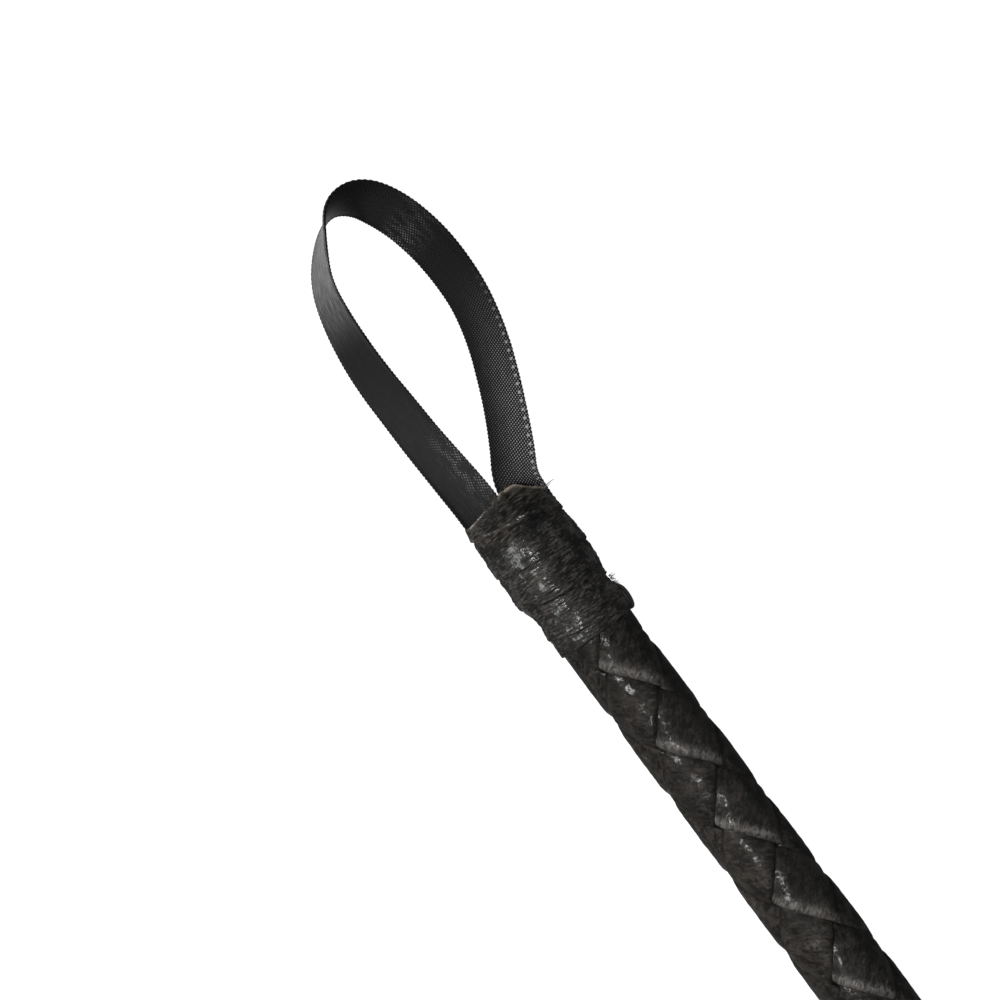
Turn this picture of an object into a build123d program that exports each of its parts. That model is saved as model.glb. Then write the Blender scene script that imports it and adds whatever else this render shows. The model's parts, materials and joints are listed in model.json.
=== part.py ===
"""Riding crop: braided grip with a ribbon wrist loop, tapered shaft and a two-leaf leather keeper.

The crop lies along X with its tip at +X, and +Z is up. The origin is on the shaft's axis at the middle of
the braided grip. Every length is in millimetres, and every x is in this frame.
"""
from build123d import *
from math import degrees, radians, tan
import os

os.makedirs("parts", exist_ok=True)

# --- driving dimensions -----------------------------------------------------------------------------
MOUTH = -94.0           # open end of the butt binding, where the wrist loop leaves
FIT = 0.04              # gap between pieces that lie on each other

ROD_BUTT_RADIUS = 2.9
ROD_TIP_RADIUS = 1.6
ROD_BUTT = MOUTH + 7.0
TAPER_START = MOUTH + 240.0
ROD_TIP = MOUTH + 476.0

PADDING_RADIUS = 3.84
STRAND_THICKNESS = 0.75
STRANDS_PER_HAND = 3
BRAID_PITCH = 38.1      # length in which one strand goes once round the grip
STRAND_GAP = 4.0        # degrees left open beside each strand
GRIP_BUTT = MOUTH + 7.0
GRIP_FRONT = MOUTH + 168.0

RIBBON_WIDTH = 6.0
RIBBON_THICKNESS = 0.4
LOOP_HINGE = MOUTH - 2.0
BUTT_RADIUS = 6.33      # butt binding over the ribbon's ends
BUTT_BINDING_END = MOUTH + 20.5
MOUTH_HALF_WIDTH = 6.5  # the binding's open end is pressed flat on the ribbon
MOUTH_HALF_HEIGHT = 3.4
TAPE_THICKNESS = 0.32
LOOP_THREAD = 0.12      # thread thickness over the ribbon's ends, at the grip's front and at the keeper
GRIP_THREAD = 0.2
KEEPER_THREAD = 0.36

COVER_RADIUS = 3.5      # parallel part of the shaft, where a rack clip holds it
COVER_TIP_RADIUS = 2.2
COLLAR_END = MOUTH + 184.0

LEATHER = 1.4
KEEPER_HINGE = MOUTH + 491.0
KEEPER_SPLIT = MOUTH + 507.0
KEEPER_END = MOUTH + 562.0
KEEPER_WIDTH = 34.0
NECK_WIDTH = 16.0
SHOULDER_END = MOUTH + 516.0
KEEPER_DROP = 4.85      # how far the keeper sinks from the axis to lie on the ground

# Wrist loop: a ribbon's middle line as (x from the mouth, y, z), and how far the ribbon has turned about
# that line. At 0 degrees its weave side faces up, at 90 it stands on edge, at 180 its satin side faces up.
LOOP_ROUTE = [
    (-2.3, 3.03, -0.2, 0),
    (-5.6, 5.5, -0.4, 16),
    (-9.8, 7.7, -0.8, 24),
    (-14.3, 9.7, -1.3, 25),
    (-18.8, 11.5, -1.8, 26),
    (-23.4, 12.8, -2.2, 26),
    (-28.1, 13.3, -2.6, 22),
    (-32.8, 13.2, -2.8, 14),
    (-37.3, 12.4, -3.0, 10),
    (-41.2, 10.8, -3.1, 16),
    (-43.9, 8.6, -3.2, 34),
    (-45.0, 5.8, -3.25, 62),
    (-44.6, 3.2, -3.25, 90),
    (-42.2, 0.7, -3.2, 108),
    (-38.2, -1.5, -3.1, 119),
    (-33.6, -2.9, -2.8, 130),
    (-28.8, -3.5, -2.4, 139),
    (-24.0, -3.7, -1.9, 146),
    (-19.0, -3.6, -1.4, 151),
    (-14.0, -3.4, -0.9, 155),
    (-9.2, -3.1, -0.4, 161),
    (-5.4, -2.9, -0.2, 170),
    (-2.3, -3.03, -0.2, 180),
]


def save(piece, label):
    """Names a finished piece and writes its STEP file."""
    piece.label = label
    export_step(piece, f"parts/{label}.step")


def between(value, low, high, at_low, at_high):
    """The value on the straight line from (low, at_low) to (high, at_high)."""
    return at_low + (at_high - at_low) * (value - low) / (high - low)


def rod_radius(x):
    return between(x, TAPER_START, ROD_TIP, ROD_BUTT_RADIUS, ROD_TIP_RADIUS)


def turned(*profile):
    """The face inside (x, radius) points, ready to be revolved round the shaft's axis."""
    with BuildSketch(Plane.XZ) as face:
        with BuildLine():
            Polyline(*profile, close=True)
        make_face()
    return face.sketch


def bent_strip(x, radius, thickness, middle, span):
    """The section at x of a strip that lies round the shaft, over span degrees about a middle angle."""
    with BuildSketch(Plane.YZ.offset(x)) as section:
        with BuildLine():
            inside = CenterArc((0, 0), radius, middle - span / 2, span)
            outside = CenterArc((0, 0), radius + thickness, middle - span / 2, span)
            Line(inside @ 0, outside @ 0)
            Line(inside @ 1, outside @ 1)
        make_face()
    return section.sketch


# --- shaft: glass-fibre rod, its braided thread cover and the cap on its tip --------------------------
COVER_START = GRIP_FRONT - 0.9
COVER_TIP = MOUTH + 470.0
COVER_BORE = ROD_BUTT_RADIUS + FIT
SQUEEZED_RADIUS = COVER_RADIUS - 0.3    # the cover is squeezed where the collar lies on it
SQUEEZE_END = COLLAR_END + 0.5
CAP_START = COVER_TIP + 0.1
CAP_END = ROD_TIP + 1.4
CAP_RADIUS = 2.2
CAP_BORE = rod_radius(CAP_START) + FIT

with BuildPart() as rod:
    profile = turned(
        (ROD_BUTT, 0),
        (ROD_BUTT, ROD_BUTT_RADIUS),
        (TAPER_START, ROD_BUTT_RADIUS),
        (ROD_TIP, ROD_TIP_RADIUS),
        (ROD_TIP, 0),
    )
    revolve(profile, axis=Axis.X)
    chamfer(rod.edges().sort_by(Axis.X)[0], 0.4)
    chamfer(rod.edges().sort_by(Axis.X)[-1], 0.3)
save(rod.part, "rod")

with BuildPart() as shaft_cover:
    profile = turned(
        (COVER_START, COVER_BORE),
        (COVER_START, SQUEEZED_RADIUS),
        (SQUEEZE_END, SQUEEZED_RADIUS),
        (SQUEEZE_END, COVER_RADIUS),
        (TAPER_START, COVER_RADIUS),
        (COVER_TIP, COVER_TIP_RADIUS),
        (COVER_TIP, rod_radius(COVER_TIP) + FIT),
        (TAPER_START, COVER_BORE),
    )
    revolve(profile, axis=Axis.X)
save(shaft_cover.part, "shaft_cover")

with BuildPart() as tip_cap:
    profile = turned(
        (CAP_START, CAP_BORE),
        (CAP_START, CAP_RADIUS),
        (CAP_END, CAP_RADIUS),
        (CAP_END, 0),
        (ROD_TIP + FIT, 0),
        (ROD_TIP + FIT, CAP_BORE),
    )
    revolve(profile, axis=Axis.X)
    fillet(tip_cap.edges().filter_by(GeomType.CIRCLE).sort_by(Axis.X)[-1], 0.8)
save(tip_cap.part, "tip_cap")

# --- grip: foam padding with six strands, three wound each way ---------------------------------------
STRAND_LENGTH = GRIP_FRONT - GRIP_BUTT
STRAND_SHARE = 360 / STRANDS_PER_HAND
STRAND_TURN = 360 * STRAND_LENGTH / BRAID_PITCH
INNER_STRAND = PADDING_RADIUS + FIT
OUTER_STRAND = INNER_STRAND + STRAND_THICKNESS + FIT
GRIP_RADIUS = OUTER_STRAND + STRAND_THICKNESS

with BuildPart() as grip_padding:
    profile = turned(
        (GRIP_BUTT, COVER_BORE),
        (GRIP_BUTT, PADDING_RADIUS),
        (COVER_START - FIT, PADDING_RADIUS),
        (COVER_START - FIT, COVER_BORE),
    )
    revolve(profile, axis=Axis.X)
save(grip_padding.part, "grip_padding")

for hand, radius, turn in (("right", INNER_STRAND, STRAND_TURN), ("left", OUTER_STRAND, -STRAND_TURN)):
    for number in range(STRANDS_PER_HAND):
        middle = (number + 0.5) * STRAND_SHARE
        strip = bent_strip(GRIP_BUTT, radius, STRAND_THICKNESS, middle, STRAND_SHARE - STRAND_GAP)
        with BuildPart() as strand:
            add(Solid.extrude_linear_with_rotation(
                strip.faces()[0],
                center=(GRIP_BUTT, 0, 0),
                normal=(STRAND_LENGTH, 0, 0),
                angle=turn,
            ))
        save(strand.part, f"grip_strand_{hand}_{number + 1}")

# --- butt: ribbon ends, the thread that ties them down and the tape over them ------------------------
TAIL_RADIUS = GRIP_RADIUS + FIT
TAIL_START = GRIP_BUTT - 0.4
TAIL_END = MOUTH + 12.5
TAIL_ANGLE = degrees(RIBBON_WIDTH / TAIL_RADIUS)
LEG_MIDDLE = 3.03       # the two legs lie side by side where they leave the mouth
LEG_SINK = -0.2
LEG_START = LOOP_HINGE + 0.3
LEG_END = GRIP_BUTT - FIT

with BuildPart() as loop_tails:
    tail = bent_strip(TAIL_START, TAIL_RADIUS, RIBBON_THICKNESS, 0, TAIL_ANGLE)
    extrude(tail, amount=TAIL_END - TAIL_START)
    with BuildSketch(Plane.XY.offset(LEG_SINK - RIBBON_THICKNESS / 2)):
        with Locations(((LEG_START + LEG_END) / 2, LEG_MIDDLE)):
            Rectangle(LEG_END - LEG_START, RIBBON_WIDTH)
    extrude(amount=RIBBON_THICKNESS)
    mirror(about=Plane.XZ)
save(loop_tails.part, "loop_tails")

TAIL_WHIPPING_START = MOUTH + 7.6
TAIL_WHIPPING_END = MOUTH + 12.0
TAIL_WHIPPING_RADIUS = TAIL_RADIUS + RIBBON_THICKNESS + FIT
with BuildPart() as loop_whipping:
    profile = turned(
        (TAIL_WHIPPING_START, TAIL_WHIPPING_RADIUS),
        (TAIL_WHIPPING_START, TAIL_WHIPPING_RADIUS + LOOP_THREAD),
        (TAIL_WHIPPING_END, TAIL_WHIPPING_RADIUS + LOOP_THREAD),
        (TAIL_WHIPPING_END, TAIL_WHIPPING_RADIUS),
    )
    revolve(profile, axis=Axis.X)
save(loop_whipping.part, "loop_whipping")

ROUND_BUTT = MOUTH + 4.0                # from here on the binding is round
BUTT_STEP_START = MOUTH + 12.6          # past the ribbon's ends it steps down on the grip
BUTT_STEP_END = MOUTH + 14.0
BUTT_BORE = BUTT_RADIUS - 0.26
BINDING_BORE = GRIP_RADIUS + FIT
BINDING_RADIUS = BINDING_BORE + TAPE_THICKNESS


def mouth_section(wall):
    """The binding's flattened open end, and the round it opens to, each set in from outside by a wall."""
    with BuildSketch(Plane.YZ.offset(MOUTH)) as flat:
        Ellipse(MOUTH_HALF_WIDTH - wall, MOUTH_HALF_HEIGHT - wall)
    with BuildSketch(Plane.YZ.offset(ROUND_BUTT)) as round_end:
        Circle(BUTT_BORE if wall else BUTT_RADIUS)
    return [flat.sketch, round_end.sketch]


with BuildPart() as butt_binding:
    outside = turned(
        (ROUND_BUTT, 0),
        (ROUND_BUTT, BUTT_RADIUS),
        (BUTT_STEP_START, BUTT_RADIUS),
        (BUTT_STEP_END, BINDING_RADIUS),
        (BUTT_BINDING_END, BINDING_RADIUS),
        (BUTT_BINDING_END, 0),
    )
    revolve(outside, axis=Axis.X)
    loft(mouth_section(0))
    bore = turned(
        (ROUND_BUTT, 0),
        (ROUND_BUTT, BUTT_BORE),
        (BUTT_STEP_START, BUTT_BORE),
        (BUTT_STEP_END - 0.4, BINDING_BORE),
        (BUTT_BINDING_END, BINDING_BORE),
        (BUTT_BINDING_END, 0),
    )
    revolve(bore, axis=Axis.X, mode=Mode.SUBTRACT)
    loft(mouth_section(TAPE_THICKNESS), mode=Mode.SUBTRACT)
save(butt_binding.part, "butt_binding")

# --- grip's front end: whipping over the strand ends, and the tape collar that hides it ---------------
FRONT_WHIPPING_START = GRIP_FRONT - 8.0
FRONT_WHIPPING_END = GRIP_FRONT - 2.0
FRONT_WHIPPING_RADIUS = GRIP_RADIUS + FIT + GRIP_THREAD
COLLAR_START = GRIP_FRONT - 11.0
COLLAR_SHOULDER = GRIP_FRONT - 9.0
COLLAR_STEP = FRONT_WHIPPING_START - 0.2
COLLAR_BORE = FRONT_WHIPPING_RADIUS + FIT
COLLAR_TIP_BORE = SQUEEZED_RADIUS + FIT

with BuildPart() as grip_front_whipping:
    profile = turned(
        (FRONT_WHIPPING_START, BINDING_BORE),
        (FRONT_WHIPPING_START, FRONT_WHIPPING_RADIUS),
        (FRONT_WHIPPING_END, FRONT_WHIPPING_RADIUS),
        (FRONT_WHIPPING_END, BINDING_BORE),
    )
    revolve(profile, axis=Axis.X)
save(grip_front_whipping.part, "grip_front_whipping")

with BuildPart() as grip_collar:
    profile = turned(
        (COLLAR_START, BINDING_BORE),
        (COLLAR_START, BINDING_RADIUS),
        (COLLAR_SHOULDER, COLLAR_BORE + TAPE_THICKNESS),
        (GRIP_FRONT + 0.5, COLLAR_BORE + TAPE_THICKNESS),
        (COLLAR_END, COVER_RADIUS + TAPE_THICKNESS),
        (COLLAR_END, COLLAR_TIP_BORE),
        (GRIP_FRONT + FIT, COLLAR_TIP_BORE),
        (GRIP_FRONT + FIT, COLLAR_BORE),
        (COLLAR_STEP, COLLAR_BORE),
        (COLLAR_STEP, BINDING_BORE),
    )
    revolve(profile, axis=Axis.X)
save(grip_collar.part, "grip_collar")

# --- wrist loop --------------------------------------------------------------------------------------
ARC_SHARE = 0.45
LOOP_STEP = 2.0         # spacing of the ribbon's sections


def corner_radii(points):
    """The largest sound arc at each corner: a share of the shorter run over the tangent of half the turn."""
    radii = []
    for before, corner, after in zip(points, points[1:], points[2:]):
        arriving = corner - before
        leaving = after - corner
        half_turn = radians(arriving.get_angle(leaving)) / 2
        radii.append(ARC_SHARE * min(arriving.length, leaving.length) / tan(half_turn))
    return radii


def ribbon_turn(point, points, turns):
    """How far the ribbon has turned at a point of its middle line, from the two nearest route points."""
    ranked = sorted(range(len(points)), key=lambda n: (points[n] - point).length)
    first, second = sorted(ranked[:2])
    near = (points[first] - point).length
    far = (points[second] - point).length
    return between(near, 0, near + far, turns[first], turns[second])


loop_points = [Vector(MOUTH + x, y, z) for x, y, z, turn in LOOP_ROUTE]
loop_turns = [turn for x, y, z, turn in LOOP_ROUTE]
loop_radii = corner_radii(loop_points)

with BuildPart() as wrist_loop:
    with BuildLine() as middle:
        FilletPolyline(*loop_points, radius=loop_radii)
    loop_line = middle.wire()
    sections = round(loop_line.length / LOOP_STEP)
    square_ends = {0: Vector(-1, 0, 0), sections: Vector(1, 0, 0)}
    for number in range(sections + 1):
        here = loop_line @ (number / sections)
        along = square_ends.get(number, loop_line % (number / sections))
        flat_across = along.cross(Vector(0, 0, 1)).normalized()
        across = flat_across.rotate(Axis((0, 0, 0), along), -ribbon_turn(here, loop_points, loop_turns))
        with BuildSketch(Plane(origin=here, x_dir=across, z_dir=along)):
            Rectangle(RIBBON_WIDTH, RIBBON_THICKNESS)
    loft(ruled=True)
save(wrist_loop.part, "wrist_loop")
print("wrist loop length", round(loop_line.length, 1), "volume", round(wrist_loop.part.volume, 1))
print("section times length", round(RIBBON_WIDTH * RIBBON_THICKNESS * loop_line.length, 1))
print("corner radii", [round(radius, 1) for radius in loop_radii])

# --- keeper: two leather leaves whose necks are bound round the shaft's tip ---------------------------
NECK_START = MOUTH + 450.0
NECK_ROUND_END = CAP_END + 1.0
NECK_FLAT = MOUTH + 488.0
NECK_BORE = 2.5
NECK_SPAN = 170.0       # degrees of the shaft that each neck covers
LEAF_BOTTOM = FIT / 2   # the leaves meet on the axis, and each one's far face is this much plus the leather
LEAF_TOP = LEAF_BOTTOM + LEATHER
NECK_CENTRE = (LEAF_BOTTOM + LEAF_TOP) / 2


def round_neck(x, up):
    """A neck's section at x where it wraps the shaft: a bent strip above the axis, or below it."""
    return bent_strip(x, NECK_BORE, LEATHER, 90 * up, NECK_SPAN)


def flat_neck(x, up):
    """A neck's section at x where it has opened out flat."""
    with BuildSketch(Plane.YZ.offset(x)) as section:
        with Locations((0, up * NECK_CENTRE)):
            Rectangle(NECK_WIDTH, LEATHER)
    return section.sketch


for side, up in (("front", 1), ("back", -1)):
    with BuildPart() as neck:
        extrude(round_neck(NECK_START, up), amount=NECK_ROUND_END - NECK_START)
        loft([round_neck(NECK_ROUND_END, up), flat_neck(NECK_FLAT, up)])
        with BuildSketch(Plane.XZ):
            with BuildLine():
                Line((NECK_FLAT, up * LEAF_BOTTOM), (NECK_FLAT, up * LEAF_TOP))
                Line((NECK_FLAT, up * LEAF_TOP), (KEEPER_HINGE, up * LEAF_TOP))
                CenterArc((KEEPER_HINGE, 0), LEAF_TOP, 0, 90 * up)
                Line((KEEPER_HINGE + LEAF_TOP, 0), (KEEPER_HINGE, 0))
                Line((KEEPER_HINGE, 0), (KEEPER_HINGE, up * LEAF_BOTTOM))
                Line((KEEPER_HINGE, up * LEAF_BOTTOM), (NECK_FLAT, up * LEAF_BOTTOM))
            make_face()
        extrude(amount=NECK_WIDTH / 2, both=True)
    save(neck.part, f"keeper_neck_{side}")

NECK_RADIUS = NECK_BORE + LEATHER + FIT
WHIPPING_START = NECK_START + 3.0
WHIPPING_END = NECK_START + 21.0
WHIPPING_RADIUS = NECK_RADIUS + KEEPER_THREAD
with BuildPart() as keeper_whipping:
    profile = turned(
        (WHIPPING_START, NECK_RADIUS),
        (WHIPPING_START, WHIPPING_RADIUS),
        (WHIPPING_END, WHIPPING_RADIUS),
        (WHIPPING_END, NECK_RADIUS),
    )
    revolve(profile, axis=Axis.X)
save(keeper_whipping.part, "keeper_whipping")

TIP_TAPE_START = NECK_START - 6.0
TIP_TAPE_END = NECK_START + 25.0
TIP_TAPE_STEP = WHIPPING_END + 2.0
TIP_BORE = between(TIP_TAPE_START, TAPER_START, COVER_TIP, COVER_RADIUS, COVER_TIP_RADIUS) + FIT
with BuildPart() as tip_binding:
    profile = turned(
        (TIP_TAPE_START, TIP_BORE),
        (TIP_TAPE_START, TIP_BORE + TAPE_THICKNESS),
        (NECK_START, NECK_RADIUS + TAPE_THICKNESS),
        (WHIPPING_START, WHIPPING_RADIUS + FIT + TAPE_THICKNESS),
        (WHIPPING_END, WHIPPING_RADIUS + FIT + TAPE_THICKNESS),
        (TIP_TAPE_STEP, NECK_RADIUS + TAPE_THICKNESS),
        (TIP_TAPE_END, NECK_RADIUS + TAPE_THICKNESS),
        (TIP_TAPE_END, NECK_RADIUS),
        (WHIPPING_END + FIT, NECK_RADIUS),
        (WHIPPING_END + FIT, WHIPPING_RADIUS + FIT),
        (WHIPPING_START - FIT, WHIPPING_RADIUS + FIT),
        (WHIPPING_START - FIT, NECK_RADIUS),
        (NECK_START - FIT, NECK_RADIUS),
        (NECK_START - FIT, TIP_BORE),
    )
    revolve(profile, axis=Axis.X)
save(tip_binding.part, "tip_binding")

BEND_START = KEEPER_SPLIT + 3.0
BEND_END = KEEPER_SPLIT + 25.0
SOCKET_RADIUS = LEAF_TOP + 0.06
SOCKET_ANGLE = 29.0     # the socket is shallow, so the keeper can turn 60 degrees either way
SOCKET_FLARE = KEEPER_HINGE + 2.3
SHOULDER_START = KEEPER_HINGE + 3.0
SHOULDER_EASE = 2.0     # how far each end of the shoulder's curve runs straight
CORNER_RADIUS = 6.0
OUTLINE_DEPTH = 40.0
ROOT_END = KEEPER_SPLIT - 0.3
LEAF_START = KEEPER_SPLIT + 0.3
LEAF_BEVEL = LEAF_START + 1.7


def keeper_outline():
    """The keeper seen from above: neck, shoulders, parallel sides and rounded corners."""
    half_neck = NECK_WIDTH / 2
    half_width = KEEPER_WIDTH / 2
    middle_x = (SHOULDER_START + SHOULDER_END) / 2
    middle_y = (half_neck + half_width) / 2
    with BuildSketch(Plane.XY.offset(-OUTLINE_DEPTH / 2)) as outline:
        with BuildLine():
            Polyline((KEEPER_HINGE, 0), (KEEPER_HINGE, half_neck), (SHOULDER_START, half_neck))
            Bezier((SHOULDER_START, half_neck), (middle_x - SHOULDER_EASE, half_neck), (middle_x, middle_y))
            Bezier((middle_x, middle_y), (middle_x + SHOULDER_EASE, half_width), (SHOULDER_END, half_width))
            Line((SHOULDER_END, half_width), (KEEPER_END - CORNER_RADIUS, half_width))
            CenterArc((KEEPER_END - CORNER_RADIUS, half_width - CORNER_RADIUS), CORNER_RADIUS, 0, 90)
            Line((KEEPER_END, half_width - CORNER_RADIUS), (KEEPER_END, 0))
            mirror(about=Plane.XZ)
        make_face()
    return outline.sketch


def falling_edge(z):
    """A leaf's long edge from the bend to the end: level, then sunk to the ground in a gentle S."""
    middle = (BEND_START + BEND_END) / 2
    Bezier((BEND_START, z), (middle, z), (middle, z - KEEPER_DROP), (BEND_END, z - KEEPER_DROP))
    Line((BEND_END, z - KEEPER_DROP), (KEEPER_END, z - KEEPER_DROP))


def socket_edge(up):
    """The hinge end of a leaf on one side: a shallow round socket and a flare to full thickness."""
    arc = CenterArc((KEEPER_HINGE, 0), SOCKET_RADIUS, up, up * SOCKET_ANGLE)
    Line(arc @ 1, (SOCKET_FLARE, up * LEAF_TOP))
    return arc @ 0


with BuildPart() as keeper_back_leaf:
    with BuildSketch(Plane.XZ):
        with BuildLine():
            socket_start = socket_edge(-1)
            Line(socket_start, (BEND_START, -LEAF_BOTTOM))
            falling_edge(-LEAF_BOTTOM)
            Line((SOCKET_FLARE, -LEAF_TOP), (BEND_START, -LEAF_TOP))
            falling_edge(-LEAF_TOP)
            Line((KEEPER_END, -LEAF_BOTTOM - KEEPER_DROP), (KEEPER_END, -LEAF_TOP - KEEPER_DROP))
        make_face()
    extrude(amount=KEEPER_WIDTH, both=True)
    extrude(keeper_outline(), amount=OUTLINE_DEPTH, mode=Mode.INTERSECT)
save(keeper_back_leaf.part, "keeper_back_leaf")

with BuildPart() as keeper_front_root:
    with BuildSketch(Plane.XZ):
        with BuildLine():
            socket_start = socket_edge(1)
            Line(socket_start, (ROOT_END, LEAF_BOTTOM))
            Line((ROOT_END, LEAF_BOTTOM), (ROOT_END, LEAF_TOP))
            Line((ROOT_END, LEAF_TOP), (SOCKET_FLARE, LEAF_TOP))
        make_face()
    extrude(amount=KEEPER_WIDTH, both=True)
    extrude(keeper_outline(), amount=OUTLINE_DEPTH, mode=Mode.INTERSECT)
save(keeper_front_root.part, "keeper_front_root")

with BuildPart() as keeper_front_leaf:
    with BuildSketch(Plane.XZ):
        with BuildLine():
            Line((LEAF_START, LEAF_BOTTOM), (BEND_START, LEAF_BOTTOM))
            falling_edge(LEAF_BOTTOM)
            Line((KEEPER_END, LEAF_BOTTOM - KEEPER_DROP), (KEEPER_END, LEAF_TOP - KEEPER_DROP))
            falling_edge(LEAF_TOP)
            Line((BEND_START, LEAF_TOP), (LEAF_BEVEL, LEAF_TOP))
            Line((LEAF_BEVEL, LEAF_TOP), (LEAF_START, LEAF_BOTTOM))
        make_face()
    extrude(amount=KEEPER_WIDTH, both=True)
    extrude(keeper_outline(), amount=OUTLINE_DEPTH, mode=Mode.INTERSECT)
save(keeper_front_leaf.part, "keeper_front_leaf")

STITCH_RADIUS = 0.28
STITCH_LENGTH = 1.7
STITCH_PITCH = 2.4
STITCH_HEIGHT = LEAF_TOP + STITCH_RADIUS + 0.01
STITCH_ROWS = ((KEEPER_HINGE + 5.5, 6), (KEEPER_SPLIT - 2.5, 9))     # where each row is, and its stitches
with BuildPart() as keeper_stitching:
    for row_x, stitches in STITCH_ROWS:
        for side in (-1, 1):
            with Locations((row_x, 0, side * STITCH_HEIGHT)):
                with GridLocations(1, STITCH_PITCH, 1, stitches):
                    Cylinder(STITCH_RADIUS, STITCH_LENGTH, rotation=(90, 0, 0))
save(keeper_stitching.part, "keeper_stitching")
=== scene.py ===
"""Looks for the riding crop: its ribbon loop, wound tapes, plaited grip, thread-covered shaft and keeper.

Lengths are in metres and the crop lies along X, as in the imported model. Sizes written with MM are in
millimetres. "Along" is a distance along a strip, "across" one over its width, and angles round the shaft
are 0 at +Y and 90 degrees at the top.
"""

import json
import random
from math import cos, pi, radians, sin

import bmesh
import bpy
import numpy as np
from mathutils import Matrix, Vector, noise

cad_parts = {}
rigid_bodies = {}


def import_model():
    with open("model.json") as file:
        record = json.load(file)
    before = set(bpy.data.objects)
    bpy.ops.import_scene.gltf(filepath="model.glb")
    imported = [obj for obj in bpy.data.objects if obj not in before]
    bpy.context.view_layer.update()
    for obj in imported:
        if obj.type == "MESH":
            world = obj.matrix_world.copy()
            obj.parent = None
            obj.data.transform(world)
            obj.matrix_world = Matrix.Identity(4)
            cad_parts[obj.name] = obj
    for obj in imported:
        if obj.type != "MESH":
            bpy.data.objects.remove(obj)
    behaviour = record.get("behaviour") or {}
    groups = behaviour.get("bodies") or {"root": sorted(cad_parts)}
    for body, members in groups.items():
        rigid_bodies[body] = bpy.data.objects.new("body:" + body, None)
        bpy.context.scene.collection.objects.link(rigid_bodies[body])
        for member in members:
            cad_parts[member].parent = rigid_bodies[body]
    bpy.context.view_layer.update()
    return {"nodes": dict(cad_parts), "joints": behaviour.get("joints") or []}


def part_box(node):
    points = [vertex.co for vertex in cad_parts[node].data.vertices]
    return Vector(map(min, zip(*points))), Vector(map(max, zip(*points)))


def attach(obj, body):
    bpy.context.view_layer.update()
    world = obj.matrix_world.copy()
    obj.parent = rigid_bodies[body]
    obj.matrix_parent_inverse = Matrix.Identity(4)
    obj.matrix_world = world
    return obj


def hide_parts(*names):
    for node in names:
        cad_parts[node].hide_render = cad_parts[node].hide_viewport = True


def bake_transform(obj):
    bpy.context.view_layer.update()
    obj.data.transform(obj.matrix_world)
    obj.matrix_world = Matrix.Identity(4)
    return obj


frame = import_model()

MM = 0.001
UP = np.array((0.0, 0.0, 1.0))

# --- places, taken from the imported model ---
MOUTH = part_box("butt_binding")[0].x
BINDING_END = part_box("butt_binding")[1].x
GRIP_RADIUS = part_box("grip_strand_left_1")[1].z
GRIP_START, GRIP_END = (corner.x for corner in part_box("grip_strand_left_1"))
COLLAR_START, COLLAR_END = (corner.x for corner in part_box("grip_collar"))
COVER_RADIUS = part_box("shaft_cover")[1].z
COVER_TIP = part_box("shaft_cover")[1].x
TIP_TAPE_START, TIP_TAPE_END = (corner.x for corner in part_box("tip_binding"))
TIP_TAPE_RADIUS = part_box("tip_binding")[1].z
TAPER_START = MOUTH + 240 * MM  # the shaft is even up to here, and tapers from here to its tip
COVER_TIP_RADIUS = 2.2 * MM
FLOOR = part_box("butt_binding")[0].z
JOINTS = {joint["name"]: joint for joint in frame["joints"]}

# --- camera ---
PICTURE_WIDTH = 131.6 * MM      # how much of the crop's plane the picture takes in
LENS = 100.0
SENSOR = 36.0
NEAREST_SEEN = 10 * MM
CROP_TURN = radians(53.3)       # the crop runs down to the right, this far from level
PICTURE_MIDDLE = (MOUTH - 1.16 * MM, 0.2 * MM)


def shown(name, data):
    """A new object in the scene."""
    made = bpy.data.objects.new(name, data)
    bpy.context.scene.collection.objects.link(made)
    return made


def make_camera():
    data = bpy.data.cameras.new("camera")
    data.lens = LENS
    data.sensor_width = SENSOR
    data.clip_start = NEAREST_SEEN
    camera = shown("camera", data)
    camera.location = (*PICTURE_MIDDLE, PICTURE_WIDTH * LENS / SENSOR)
    camera.rotation_euler = (0, 0, CROP_TURN)
    bpy.context.scene.camera = camera


make_camera()

# --- mesh helpers ---
NOISE_SMOOTHNESS = 0.9          # how fast the finer octaves fade
NOISE_FINENESS = 2.0            # how much finer each octave is
NOISE_SHIFT = 31.7              # how far apart two seeds lie in the noise
EDGE_CROWDING = 0.8             # how evenly a strip's points spread over its width
THINNEST_EDGE = 0.12            # a strip's edge, as a share of its thickness


def smooth(value, low, high):
    """0 below low, 1 above high, and an S between them."""
    share = np.clip((value - low) / (high - low), 0, 1)
    return share * share * (3 - 2 * share)


def bell(value, middle, spread):
    """1 at the middle, falling away over a spread."""
    return np.exp(-(((value - middle) / spread) ** 2))


def noise_at(points, size, seed, octaves=3):
    """Smooth noise from about -1 to 1 at an array of points, with lumps of a size given for each axis."""
    scale = 1 / np.broadcast_to(np.asarray(size, float), 3)
    places = (points * scale).reshape(-1, 3) + NOISE_SHIFT * seed
    values = [noise.fractal(Vector(place), NOISE_SMOOTHNESS, NOISE_FINENESS, octaves) for place in places]
    return np.array(values).reshape(points.shape[:-1])


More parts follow.
